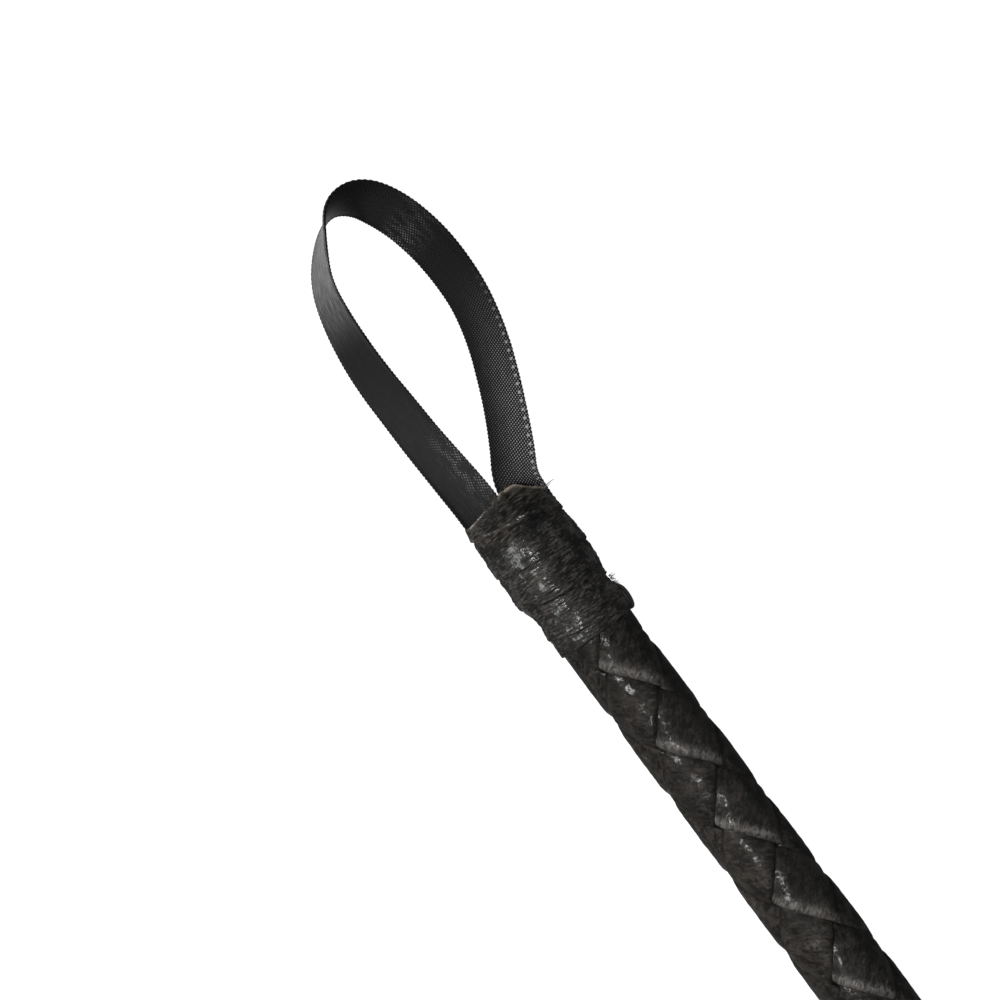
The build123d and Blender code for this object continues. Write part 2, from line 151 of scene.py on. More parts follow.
def grid_piece(name, points, material, rows_close=False, **attributes):
    """A closed mesh over a grid of points: rows lie along the piece, and each row is a closed ring.

    Unless the last row closes on the first, quads that join the ring's two halves fill both. attributes are
    three numbers for each point, which the material reads.
    """
    rows, ring = points.shape[:2]
    index = np.arange(rows * ring).reshape(rows, ring)
    following = np.roll(index, -1, axis=1)
    last = rows if rows_close else rows - 1
    after = np.roll(index, -1, axis=0)[:last]
    after_following = np.roll(following, -1, axis=0)[:last]
    quads = np.stack([index[:last], following[:last], after_following, after], axis=-1).reshape(-1, 4)
    if not rows_close:
        half = np.arange(ring // 2 - 1)
        cap = np.stack([half, half + 1, ring - 2 - half, ring - 1 - half], axis=-1)
        quads = np.concatenate([quads, cap, cap + (rows - 1) * ring])
    mesh = bpy.data.meshes.new(name)
    mesh.from_pydata(points.reshape(-1, 3).tolist(), [], quads.tolist())
    for label, values in attributes.items():
        layer = mesh.attributes.new(label, "FLOAT_VECTOR", "POINT")
        layer.data.foreach_set("vector", values.astype(np.float32).ravel())
    work = bmesh.new()
    work.from_mesh(mesh)
    bmesh.ops.recalc_face_normals(work, faces=work.faces)
    work.to_mesh(mesh)
    work.free()
    mesh.shade_smooth()
    mesh.materials.append(material)
    return shown(name, mesh)


def strip_ring(half_width, thickness, rounding, columns):
    """A flat strip's section, along its top and back along its bottom: places across it, and heights.

    half_width is one number, or a column of them for a strip whose width changes.
    """
    spread = np.sin(np.linspace(-pi / 2, pi / 2, columns))
    across = np.sign(spread) * np.abs(spread) ** EDGE_CROWDING * half_width
    edge = np.clip((half_width - np.abs(across)) / rounding, 0, 1)
    up = thickness / 2 * np.maximum(np.sqrt(1 - (1 - edge) ** 2), THINNEST_EDGE)
    return np.concatenate([across, across[..., ::-1]], axis=-1), np.concatenate([up, -up[..., ::-1]], axis=-1)


def polar(x, radius, angle):
    """Points at a distance from the shaft's axis and an angle round it."""
    return np.stack(np.broadcast_arrays(x, radius * np.cos(angle), radius * np.sin(angle)), axis=-1)


def tube(angles, xs, outer, bore_xs, bore):
    """Points of a tube, along its outside and back along its inside."""
    along = np.concatenate([xs, bore_xs[:, ::-1]], axis=1)
    return polar(along, np.concatenate([outer, bore[:, ::-1]], axis=1), angles)


def stacked(*values):
    """Numbers side by side, as the last axis of one array."""
    return np.stack(np.broadcast_arrays(*values), axis=-1)


def joined(name, pieces):
    """One piece made of several."""
    with bpy.context.temp_override(active_object=pieces[0], selected_editable_objects=pieces):
        bpy.ops.object.join()
    pieces[0].name = name
    return pieces[0]


# --- material helper ---


class Finish:
    """A material put together node by node. Most methods add a node and return its output."""

    def __init__(self, name):
        self.material = bpy.data.materials.new(name)
        self.material.use_nodes = True
        self.tree = self.material.node_tree
        self.surface = self.tree.nodes["Principled BSDF"]

    def feed(self, socket, value):
        if isinstance(value, bpy.types.NodeSocket):
            self.tree.links.new(value, socket)
        else:
            socket.default_value = value

    def node(self, kind, inputs=(), output=0, **settings):
        made = self.tree.nodes.new("ShaderNode" + kind)
        for label, value in settings.items():
            setattr(made, label, value)
        pairs = inputs.items() if isinstance(inputs, dict) else enumerate(inputs)
        for place, value in pairs:
            self.feed(made.inputs[place], value)
        return made.outputs[output]

    def sum(self, a, b):
        return self.node("Math", (a, b), operation="ADD")

    def times(self, a, b):
        return self.node("Math", (a, b), operation="MULTIPLY")

    def calculate(self, operation, a):
        return self.node("Math", (a,), operation=operation)

    def bell(self, value, middle, spread):
        """1 at the middle, falling to 0 over a spread on each side."""
        far = self.calculate("ABSOLUTE", self.sum(value, -middle))
        return self.between(far, 0, spread, 1, 0)

    def between(self, value, low, high, at_low=0.0, at_high=1.0):
        """A value's place between low and high, eased, as at_low to at_high."""
        inputs = (value, low, high, at_low, at_high)
        return self.node("MapRange", inputs, interpolation_type="SMOOTHSTEP")

    def place(self, *size):
        """The point on the object, in units of one size in millimetres or of one for each axis."""
        sides = size if len(size) == 3 else size * 3
        point = self.node("TexCoord", output=3)
        scale = tuple(1 / (side * MM) for side in sides)
        return self.node("VectorMath", (point, scale), operation="MULTIPLY")

    def attribute(self, label, size=(1, 1, 1)):
        """A mesh attribute's three numbers, in units of a size given for each."""
        value = self.node("Attribute", output=1, attribute_name=label)
        scale = tuple(1 / side for side in size)
        return self.node("VectorMath", (value, scale), operation="MULTIPLY")

    def parts(self, vector):
        made = self.tree.nodes.new("ShaderNodeSeparateXYZ")
        self.feed(made.inputs[0], vector)
        return made.outputs

    def noise(self, vector, detail=2.0, roughness=0.5, distortion=0.0):
        inputs = {"Vector": vector, "Scale": 1.0, "Detail": detail, "Roughness": roughness}
        inputs["Distortion"] = distortion
        return self.node("TexNoise", inputs)

    def cells(self, vector, feature="SMOOTH_F1"):
        """How far each point is from the middle of its cell."""
        return self.node("TexVoronoi", {"Vector": vector, "Scale": 1.0}, "Distance", feature=feature)

    def colour(self, share, first, second):
        """A colour between two others."""
        inputs = {0: share, 6: first, 7: second}
        return self.node("Mix", inputs, 2, data_type="RGBA")

    def bump(self, height, distance, strength=1.0):
        """A normal bent by a height, where distance is how far a height of 1 stands up."""
        return self.node("Bump", {"Height": height, "Distance": distance, "Strength": strength})

    def finish(self, **inputs):
        for label, value in inputs.items():
            self.feed(self.surface.inputs[label.replace("_", " ")], value)
        return self.material


def grey(level, warmth=0.0):
    """A dark neutral colour, a little brown where warmth is above 0."""
    return (level * (1 + warmth), level, level * (1 - warmth), 1)


# --- ribbon loop ---
# The ribbon's middle line as (x from the mouth, y, z) in millimetres, and its turn about it in degrees.
# The first two points and the last two lie inside the binding.
LOOP_ROUTE = [
    (4.0, 3.1, -0.2, 0),
    (1.0, 3.2, -0.2, 0),
    (-2.3, 3.5, -0.2, 6),
    (-5.6, 5.5, -0.4, 16),
    (-9.8, 7.7, -0.8, 24),
    (-14.3, 9.7, -1.3, 25),
    (-18.8, 11.5, -1.8, 26),
    (-23.4, 12.8, -2.2, 26),
    (-28.1, 13.3, -2.6, 22),
    (-32.8, 13.2, -2.8, 14),
    (-37.4, 12.5, -3.0, 10),
    (-41.5, 11.15, -3.1, 16),
    (-44.4, 9.25, -3.2, 34),
    (-45.6, 6.6, -3.25, 62),
    (-45.25, 4.05, -3.25, 90),
    (-42.55, 1.2, -3.2, 108),
    (-38.4, -1.7, -3.1, 119),
    (-33.6, -2.9, -2.8, 130),
    (-28.8, -3.5, -2.4, 139),
    (-24.0, -3.7, -1.9, 146),
    (-19.0, -3.6, -1.4, 151),
    (-14.0, -3.4, -0.9, 155),
    (-9.2, -3.1, -0.4, 161),
    (-5.4, -2.9, -0.2, 170),
    (-2.3, -2.8, -0.1, 176),
    (1.0, -2.8, -0.1, 180),
    (4.0, -2.8, -0.2, 180),
]
RIBBON_WIDTH = 6.0 * MM
RIBBON_THICKNESS = 0.3 * MM
RIBBON_STEP = 0.12 * MM
RIBBON_COLUMNS = 30
SELVAGE_WIDTH = 0.45 * MM
SCALLOP_PITCH = 0.55 * MM
SCALLOP_DEPTH = 0.10 * MM
SCALLOP_OFFSET = 1.1            # the two edges' scallops are out of step by this angle
SELVAGE_SWELL = 0.5             # how much thicker the ribbon is at its edges, as a share
SCALLOP_SWELL = 0.03 * MM
RIBBON_ROUNDING = 0.12 * MM
RIBBON_WANDER = 0.06 * MM
RIBBON_CUP = 0.12 * MM          # the middle stands this much above the edges

# The weave, as waves with this many radians to a millimetre along and across the ribbon.
TWILL_ROWS = (11.0, 4.0)
TWILL_COLUMNS = (-3.2, 15.0)
RIBS = 20.0
SELVAGE_BEADS = 5.6
# Where sheen and glints are painted on the weave and the satin as paler colour, as a middle and a spread in
# millimetres.
PAINTED_SHEEN_AT_MOUTH = (13, 24)
PAINTED_SHEEN_AT_BEND = (43.5, 4.5)
PAINTED_SHEEN_ON_SELVAGE = (14, 22)
PAINTED_GLINTS = (97, 9)
PAINTED_SATIN_SHEEN = (63, 13.0)
SELVAGE_LINE = (2.55, 0.3)      # across the ribbon: where the painted highlight on the selvage lies


def spline_line(points):
    """Points along the NURBS spline whose control points are given."""
    curve = bpy.data.curves.new("route", "CURVE")
    curve.dimensions = "3D"
    curve.resolution_u = 32
    spline = curve.splines.new("NURBS")
    spline.points.add(len(points) - 1)
    for control, point in zip(spline.points, points):
        control.co = (*point, 1)
    spline.order_u = 3
    spline.use_endpoint_u = True
    holder = bpy.data.objects.new("route", curve)
    mesh = bpy.data.meshes.new_from_object(holder)
    line = np.array([vertex.co for vertex in mesh.vertices])
    bpy.data.meshes.remove(mesh)
    bpy.data.objects.remove(holder)
    return line


def evenly(line, step, *others):
    """A line's points at an even step, its distances, and other numbers that go with the line's points."""
    travelled = np.concatenate([[0], np.cumsum(np.linalg.norm(np.diff(line, axis=0), axis=1))])
    along = np.linspace(0, travelled[-1], round(travelled[-1] / step) + 1)
    even = np.stack([np.interp(along, travelled, line[:, axis]) for axis in range(3)], axis=-1)
    return even, along, *(np.interp(along, travelled, other) for other in others)


def unit(vectors):
    """The vectors' directions, each of length 1."""
    return vectors / np.linalg.norm(vectors, axis=-1, keepdims=True)


def ribbon_finish():
    """Black woven ribbon: twill floats in a slanting lattice on one side, satin threads on the other, with
    sheen and glints painted into its colour in patches.
    """
    look = Finish("ribbon")
    along, across, side = look.parts(look.attribute("weave", (1 * MM, 1 * MM, 1)))

    def wave(kind, along_rate, across_rate):
        return look.calculate(kind, look.sum(look.times(along, along_rate), look.times(across, across_rate)))

    floats = look.between(look.times(wave("SINE", *TWILL_ROWS), wave("COSINE", *TWILL_COLUMNS)), 0.05, 0.85)
    ribs = wave("SINE", RIBS, 0)
    warp = look.node("CombineXYZ", (look.times(along, 0.4), look.times(across, 6.0), side))
    satin = look.noise(warp, 4.0, 0.7)
    twill_side = look.between(side, -0.1, 0.1)
    height = look.node("Mix", {0: twill_side, 2: satin, 3: look.sum(floats, look.times(ribs, 0.2))})

    # Painted highlights in the base colour, fixed to the ribbon by place along and across it: paler twill
    # floats near the mouth and before the bend, a beaded highlight along one selvage, glints near the mouth
    # on the returning leg, and sheen on the satin just past the bend.
    patches = look.noise(look.attribute("weave", (2.6 * MM, 0.8 * MM, 1)), 3.0, 0.7)
    over_width = look.between(across, -2.8, 1.6, 0.12, 1.0)
    at_mouth = look.times(look.bell(along, *PAINTED_SHEEN_AT_MOUTH), over_width)
    at_mouth = look.times(at_mouth, look.between(patches, 0.25, 0.6, 0.6, 1.0))
    at_bend = look.times(look.bell(along, *PAINTED_SHEEN_AT_BEND), look.between(across, -3.0, 2.0, 0.55, 0.25))
    at_bend = look.times(at_bend, look.between(patches, 0.40, 0.62))
    beads = look.between(wave("SINE", SELVAGE_BEADS, 0), 0.3, 0.9, 0, 1.2)
    selvage = look.times(look.bell(across, *SELVAGE_LINE), look.bell(along, *PAINTED_SHEEN_ON_SELVAGE))
    selvage = look.times(selvage, beads)
    twill_light = look.sum(look.times(floats, look.sum(at_mouth, at_bend)), selvage)
    inner_half = look.times(look.between(across, -0.6, 1.8), look.between(patches, 0.46, 0.58))
    sparkles = look.times(look.times(floats, look.bell(along, *PAINTED_GLINTS)), inner_half)
    satin_bend = look.times(look.bell(along, *PAINTED_SATIN_SHEEN), look.between(satin, 0.35, 0.65, 0.10, 0.56))
    satin_light = look.sum(look.times(sparkles, 0.55), look.sum(satin_bend, 0.02))
    light = look.node("Mix", {0: twill_side, 2: satin_light, 3: twill_light})
    sheen_streaks = look.between(satin, 0.3, 0.7, 0.28, 0.5)
    return look.finish(
        Base_Color=look.colour(light, grey(0.004), grey(0.34)),
        Roughness=look.node("Mix", {0: twill_side, 2: sheen_streaks, 3: 0.5}),
        Specular_IOR_Level=0.08,
        Normal=look.bump(height, 0.045 * MM, 0.8),
    )


def make_ribbon():
    line = spline_line([(MOUTH + x * MM, y * MM, z * MM) for x, y, z, turn in LOOP_ROUTE])
    turns = spline_line([(turn, 0, 0) for x, y, z, turn in LOOP_ROUTE])[:, 0]
    middle, along, turn = evenly(line, RIBBON_STEP, np.radians(turns))
    forward = unit(np.gradient(middle, axis=0))
    level = unit(np.cross(forward, UP))
    lift = np.cross(level, forward)
    across_way = np.cos(turn)[:, None] * level + np.sin(turn)[:, None] * lift
    face_way = np.cross(across_way, forward)

    across, up = strip_ring(RIBBON_WIDTH / 2, RIBBON_THICKNESS, RIBBON_ROUNDING, RIBBON_COLUMNS)
    edge = smooth(np.abs(across), RIBBON_WIDTH / 2 - SELVAGE_WIDTH, RIBBON_WIDTH / 2 - SELVAGE_WIDTH / 2)
    scallop = np.abs(np.sin(pi * along / SCALLOP_PITCH))[:, None] * edge
    opposite = np.abs(np.sin(pi * along / SCALLOP_PITCH + SCALLOP_OFFSET))[:, None] * edge
    wave = np.where(across > 0, scallop, opposite)
    wander = noise_at(stacked(along, 0, 0), 9 * MM, seed=3)[:, None] * RIBBON_WANDER
    sideways = across + np.sign(across) * wave * SCALLOP_DEPTH + wander
    cup = RIBBON_CUP * (1 - (across / RIBBON_WIDTH * 2) ** 2)
    height = up * (1 + SELVAGE_SWELL * edge) + np.sign(up) * wave * SCALLOP_SWELL + cup
    grid = middle[:, None] + across_way[:, None] * sideways[..., None] + face_way[:, None] * height[..., None]
    weave = stacked(along[:, None], across, np.sign(up))
    piece = grid_piece("ribbon_loop", grid, ribbon_finish(), weave=weave)

    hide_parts("wrist_loop", "loop_tails")
    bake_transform(piece)


make_ribbon()

# --- tapes wound round the shaft ---
TAPE_ROUND = 200                # points round a tape
TAPE_STEP = 0.11 * MM           # spacing of points along the butt's tape
WOUND_TAPE_STEP = 1.4 * TAPE_STEP
TAPE_WALL = 0.392 * MM
BORE_SKIP = 4                   # a tape's inside has one of this many points along it
CRINKLE_RADIUS = 6 * MM
BROAD_CRINKLES = 0.13 * MM
FINE_CRINKLES = 0.08 * MM
TURN_EDGE_WIDTH = 0.16 * MM     # length of the step at a turn's edge
TURN_EDGE = 0.20 * MM           # its height
TURN_ADVANCE = 5.0 * MM         # how far one turn of the collar's and tip's tapes moves on
TAPE_LAP = 0.36 * MM            # how far these two stand up from what they are wound on


def tape_finish(name, shine):
    """Faux leather: brownish creases run round it, its film has tiny glossy domes, and its edge is pale."""
    look = Finish(name)
    streaks = look.noise(look.place(0.19, 1.1, 1.1), 5.0, 0.68, 0.7)
    patches = look.noise(look.place(2.2, 3.2, 3.2), 3.0, 0.6)
    domes = look.cells(look.place(0.42))
    film = look.between(look.noise(look.place(1.6), 3.0, 0.7), 0.45, 0.62)
    dusty = look.between(look.sum(streaks, look.times(patches, 0.4)), 0.67, 0.89)
    raw = look.parts(look.attribute("edge"))[0]
    base = look.colour(dusty, grey(0.004, 0.05), grey(0.078, 0.14))
    return look.finish(
        Base_Color=look.colour(raw, base, grey(0.30, 0.2)),
        Roughness=look.between(streaks, 0.35, 0.7, 0.42, 0.75),
        Specular_IOR_Level=0.3,
        Normal=look.bump(look.sum(streaks, look.times(domes, -0.4)), 0.10 * MM),
        Coat_Weight=look.times(film, shine),
        Coat_Roughness=0.15,
        Coat_Normal=look.bump(look.sum(look.times(domes, -1.0), look.times(streaks, 0.6)), 0.045 * MM),
    )


def make_tape(name, material, x, outside, inside, edge, node):
    """A wound tape with its points at each x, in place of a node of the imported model.

    outside, inside and edge say its two radii and how raw it is at each place of an angle grid and an x grid.
    """
    angles = np.linspace(0, 2 * pi, TAPE_ROUND, endpoint=False)[:, None]
    xs = np.broadcast_to(x, (TAPE_ROUND, len(x)))
    bore_xs = xs[:, ::BORE_SKIP]
    outer = outside(angles, xs)
    inner = inside(angles, bore_xs)
    points = tube(angles, xs, outer, bore_xs, inner)
    raw = np.concatenate([edge(angles, xs), np.zeros_like(inner)], axis=1)
    piece = grid_piece(name, points, material, rows_close=True, edge=stacked(raw, raw, raw))
    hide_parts(node)
    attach(piece, "crop")
    return piece


def crinkle(angles, xs, seed):
    """The folds that run round a stretched tape."""
    points = polar(xs, CRINKLE_RADIUS, angles)
    broad = noise_at(points, (1.3 * MM, 5 * MM, 5 * MM), seed)
    fine = noise_at(points, (0.45 * MM, 2.2 * MM, 2.2 * MM), seed + 1, octaves=2)
    return BROAD_CRINKLES * broad + FINE_CRINKLES * fine


def helical_edges(angles, xs, first, advance):
    """Steps down where each turn's edge lies, each turn rising again towards the next edge."""
    turn = (xs - first) / advance + (angles - pi / 2) / (2 * pi)
    share = turn - np.floor(turn)
    ramp = TURN_EDGE_WIDTH / advance
    step = np.where(share < ramp, 1 - share / ramp, (share - ramp) / (1 - ramp))
    return TURN_EDGE * (step - 0.5 * bell(share, 1.5 * ramp, ramp) - 0.5)


# The butt's tape as (distance from the mouth, radius), in millimetres.
BUTT_PROFILE = [
    (-0.6, 5.95), (0.0, 6.05), (1.5, 6.15), (3.0, 6.25), (6.0, 6.33), (9.0, 6.36), (12.0, 6.33),
    (13.0, 6.0), (14.5, 5.6), (16.0, 5.6), (17.0, 5.72), (19.0, 5.78), (20.0, 5.76), (20.5, 5.70),
]
# Where its rim lies as (y, distance from the model's mouth), in millimetres.
RIM_PLACES = [
    (-6.2, -0.6), (-5.0, -0.8), (-3.1, -1.0), (-0.7, -1.4), (1.0, -2.0),
    (2.0, -1.9), (3.0, -1.6), (4.5, -0.3), (5.5, 0.5), (6.2, 1.2),
]
BUTT_TURNS_START = MOUTH + 8.2 * MM
BUTT_ADVANCE = 5.3 * MM
MOUTH_FLAT_LENGTH = 5 * MM      # the mouth is pressed flat, and the tape is round from here on
MOUTH_HALF_HEIGHT = 1.9 * MM
BORE_HALF_HEIGHT = 0.5 * MM
BORE_RADII = (5.62 * MM, 5.2 * MM)      # behind the mouth, and over the grip
RIM_PULL_LENGTH = 0.3 * (BINDING_END - MOUTH)
RIM_WOBBLE = 0.10
RAW_LIP = 0.28 * MM
FOLD_RISE = 0.35 * MM           # the tape rises over its own tucked end
TUCK_PLACE = MOUTH + 18.7 * MM


def mouth_line(y, angles):
    """How far from the model's mouth the binding's rim lies, at each place across it."""
    across, rim = np.array(RIM_PLACES).T
    return (np.interp(y / MM, across, rim) + RIM_WOBBLE * np.sin(9 * angles)) * MM


def make_butt_binding():
    from_mouth, radii = np.array(BUTT_PROFILE).T * MM
    x = np.arange(MOUTH, BINDING_END + TAPE_STEP / 2, TAPE_STEP)

    def flattened(angles, xs, radius, half_height):
        share = smooth(xs - MOUTH, 0, MOUTH_FLAT_LENGTH)
        low = half_height + (radius - half_height) * share
        return 1 / np.sqrt((np.cos(angles) / radius) ** 2 + (np.sin(angles) / low) ** 2)

    def outside(angles, xs):
        shape = flattened(angles, xs, np.interp(xs - MOUTH, from_mouth, radii), MOUTH_HALF_HEIGHT)
        steps = helical_edges(angles, xs, BUTT_TURNS_START, BUTT_ADVANCE) * smooth(xs - MOUTH, 0, 2 * MM)
        over_tuck = bell(np.cos(angles), 1, 0.10) * (np.cos(angles) > 0)
        fold = FOLD_RISE * bell(xs, TUCK_PLACE - 0.7 * MM, 2.2 * MM) * over_tuck
        rim = -0.1 * MM * bell(xs, MOUTH, 0.3 * MM)
        end = -0.12 * MM * bell(xs, BINDING_END, 0.15 * MM)
        return shape + steps + crinkle(angles, xs, seed=5) + fold + rim + end

    def inside(angles, xs):
        behind, over_grip = BORE_RADII
        radius = behind + (over_grip - behind) * smooth(xs - MOUTH, 11 * MM, 13 * MM)
        return flattened(angles, xs, radius, BORE_HALF_HEIGHT)

    def edge(angles, xs):
        """The raw lip shows most on the +Y half of the mouth."""
        patchy = 0.5 + noise_at(polar(xs, CRINKLE_RADIUS, angles), 0.7 * MM, seed=31, octaves=2)
        shown = 0.15 + 0.85 * smooth(np.cos(angles), -0.1, 0.3)
        return bell(xs, MOUTH, RAW_LIP) * shown * np.clip(patchy + 0.3, 0, 1)

    piece = make_tape("butt_tape", tape_finish("tape", 1.0), x, outside, inside, edge, "butt_binding")
    moved = np.array([vertex.co for vertex in piece.data.vertices])
    angle = np.arctan2(moved[:, 2], moved[:, 1])
    share = 1 - smooth(moved[:, 0] - MOUTH, 0, RIM_PULL_LENGTH)
    moved[:, 0] += mouth_line(moved[:, 1], angle) * share
    piece.data.vertices.foreach_set("co", moved.astype(np.float32).ravel())


make_butt_binding()


def make_tucked_end():
    """The tape's end, folded small and tucked under its last turn, on the +Y side."""
    look = Finish("tucked_end")
    folds = look.noise(look.place(1.2, 0.5, 0.5), 3.0)
    material = look.finish(
        Base_Color=look.colour(folds, grey(0.004), grey(0.016)),
        Roughness=look.between(folds, 0.3, 0.7, 0.18, 0.34),
        Coat_Weight=0.4,
        Coat_Roughness=0.1,
        Normal=look.bump(folds, 0.06 * MM, 0.6),
    )
    along = np.linspace(0, pi, 33)[:, None]
    turn = np.linspace(0, 2 * pi, 36, endpoint=False)[None, :]
    swell = np.maximum(np.sin(along), 0.05) ** 0.6
    pleat = 1 + 0.07 * np.cos(2 * turn + 0.5) - 0.12 * bell(turn, 2.1, 0.5)
    half_length, half_depth, half_height = 1.9 * MM, 0.95 * MM, 1.7 * MM
    x = TUCK_PLACE - half_length * np.cos(along) + 0.3 * MM * swell * np.cos(turn)
    y = 5.55 * MM + half_depth * swell * pleat * np.cos(turn) + 0.15 * MM * np.cos(along)
    z = 0.3 * MM + half_height * swell * pleat * np.sin(turn)
    piece = grid_piece("tucked_end", stacked(x, y, z), material)
    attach(piece, "crop")


make_tucked_end()

# --- frayed fibres on the tape ---
FIBRE_RADIUS = 0.045 * MM
LIP_FIBRES = 30
TUFT_FIBRES = 26
LIP_HEIGHT = 1.8 * MM           # the fibres' height over the ribbon at the middle of the mouth
LIP_HALF_WIDTH = 6.2            # millimetres
TUFT_Y = 5.7 * MM


def make_fibre(material, start, way, length, curl, radius=FIBRE_RADIUS):
    """A thin tapering fibre that leaves a point in one direction and curls away upwards or down."""
    share = np.linspace(0, 1, 9)
    way = unit(np.array(way, float))
    sideways = unit(np.cross(way, UP) + 1e-6)
    line = start + way * share[:, None] * length
    line = line + (UP * curl + sideways * curl * 0.7) * (share[:, None] ** 2) * length
    forward = unit(np.gradient(line, axis=0))
    first = unit(np.cross(forward, UP + 0.01))
    second = np.cross(forward, first)
    turn = np.linspace(0, 2 * pi, 6, endpoint=False)
    round_it = first[:, None] * np.cos(turn)[:, None] + second[:, None] * np.sin(turn)[:, None]
    taper = (1 - 0.75 * share)[:, None, None]
    return grid_piece("fibre", line[:, None] + round_it * radius * taper, material)


def make_fibres():
    """Pale fibres along the mouth's raw lip, two longer strays, and a tuft where the tape steps down."""
    look = Finish("fibres")
    tone = look.noise(look.place(0.8))
    material = look.finish(
        Base_Color=look.colour(tone, (0.05, 0.04, 0.035, 1), (0.20, 0.16, 0.14, 1)),
        Roughness=look.between(tone, 0, 1, 0.5, 0.7),
        Normal=look.bump(tone, 0.02 * MM, 0.5),
    )
    draw = random.Random(4)
    pieces = []
    for _ in range(LIP_FIBRES):
        y = draw.uniform(-2.5, 6.1)
        height = LIP_HEIGHT * np.sqrt(max(0.05, 1 - (y / LIP_HALF_WIDTH) ** 2)) * draw.uniform(0.92, 1.02)
        x = MOUTH + np.interp(y, *np.array(RIM_PLACES).T) * MM + draw.uniform(0.0, 0.25) * MM
        way = (-draw.uniform(0.4, 1.0), draw.uniform(-0.8, 0.8), draw.uniform(-0.1, 0.3))
        length = draw.uniform(0.2, 0.55) * MM
        curl = draw.uniform(-0.3, 0.3)
        pieces.append(make_fibre(material, np.array((x, y * MM, height)), way, length, curl))
    for _ in range(TUFT_FIBRES):
        start = np.array((MOUTH + draw.uniform(15.2, 17.0) * MM, TUFT_Y, draw.uniform(-0.5, 1.0) * MM))
        way = (draw.uniform(-0.6, 0.8), 1.0, draw.uniform(-0.5, 0.5))
        length = draw.uniform(0.4, 0.9) * MM
        curl = draw.uniform(-0.8, 0.8)
        pieces.append(make_fibre(material, start, way, length, curl))
    stray = np.array((MOUTH + 1.0 * MM, 5.8 * MM, 0.6 * MM))
    pieces.append(make_fibre(material, stray, (-0.30, 1.0, 0.1), 1.7 * MM, 0.3, 2 * FIBRE_RADIUS))
    pieces.append(make_fibre(material, stray, (0.25, 1.0, 0.2), 1.1 * MM, -0.3, 1.5 * FIBRE_RADIUS))
    piece = joined("frayed_fibres", pieces)
    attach(piece, "crop")


make_fibres()

# --- plaited grip ---
BRAID_PITCH = 38.1 * MM
BRAID_ANGLE = radians(60)       # both hands' first strands would be here at BRAID_START
BRAID_START = MOUTH - 0.8 * MM
STRANDS = 3                     # of each hand
STRAND_SHARE = 2 * pi / STRANDS
STRAND_FILL = 0.99              # a strand's width, as a share of the room it has
STRAND_THICKNESS = 0.62 * MM
STRAND_STEP = 0.3 * MM
STRAND_COLUMNS = 24
WEAVE_HEIGHT = 0.26 * MM        # how far a strand rises and dips from the middle of the plait
WEAVE_STEEPNESS = 2.6           # how flat a strand is where it lies over or under another
EDGE_TUCK = 0.24 * MM           # a strand's long edges curl down this far
ROLLED_EDGE = 0.10 * MM         # a left-handed strand's one edge is rolled up this much
STRAND_ROUNDING = 0.3 * MM
STRAND_SWAY = 0.25 * MM         # how far a strand strays sideways
STRAND_WRINKLES = 0.055 * MM
GRIP_LUMPS = 0.12 * MM
BOUND_SQUEEZE = 0.15 * MM       # how much the tapes press the plait down at its ends
BOUND_FADE = 4 * MM


def strand_finish():
    """Black faux leather: short wrinkles over the strip, dusty on their tops, with tiny glossy specks, a
    painted highlight along one edge of each left-handed strand and painted shade along the right-handed
    strands' edges.
    """
    look = Finish("braid")
    strip = look.attribute("strip", (0.42 * MM, 0.95 * MM, 1))
    wrinkles = look.noise(strip, 5.0, 0.66, 0.9)
    patches = look.noise(look.attribute("strip", (3.5 * MM, 3.0 * MM, 1)))
    domes = look.cells(look.attribute("strip", (0.5 * MM, 0.5 * MM, 1)))
    film = look.noise(look.attribute("strip", (1.5 * MM, 1.5 * MM, 1)), 3.0, 0.7)
    dusty = look.between(look.sum(wrinkles, look.times(patches, 0.3)), 0.52, 0.90)
    fold, groove = look.parts(look.attribute("wear"))[:2]
    # A highlight is painted along the fold of each left-handed strand, where its rolled edge catches the
    # light.
    paler_share = look.times(fold, look.between(wrinkles, 0.38, 0.60, 0.2, 1.0))
    shaded = look.colour(dusty, grey(0.005, 0.05), grey(0.036, 0.14))
    # Painted shade: groove darkens the tucked edges of each right-handed strand to near black.
    hide = look.colour(paler_share, look.colour(groove, shaded, grey(0.003)), grey(0.10, 0.06))
    return look.finish(
        Base_Color=hide,
        Roughness=look.between(dusty, 0, 1, 0.5, 0.75),
        Specular_IOR_Level=0.2,
        Normal=look.bump(look.sum(wrinkles, look.times(domes, -0.4)), 0.09 * MM),
        Coat_Weight=look.between(film, 0.45, 0.65, 0, 0.5),
        Coat_Roughness=0.14,
        Coat_Normal=look.bump(look.sum(look.times(domes, -1.0), look.times(wrinkles, 0.6)), 0.06 * MM),
    )


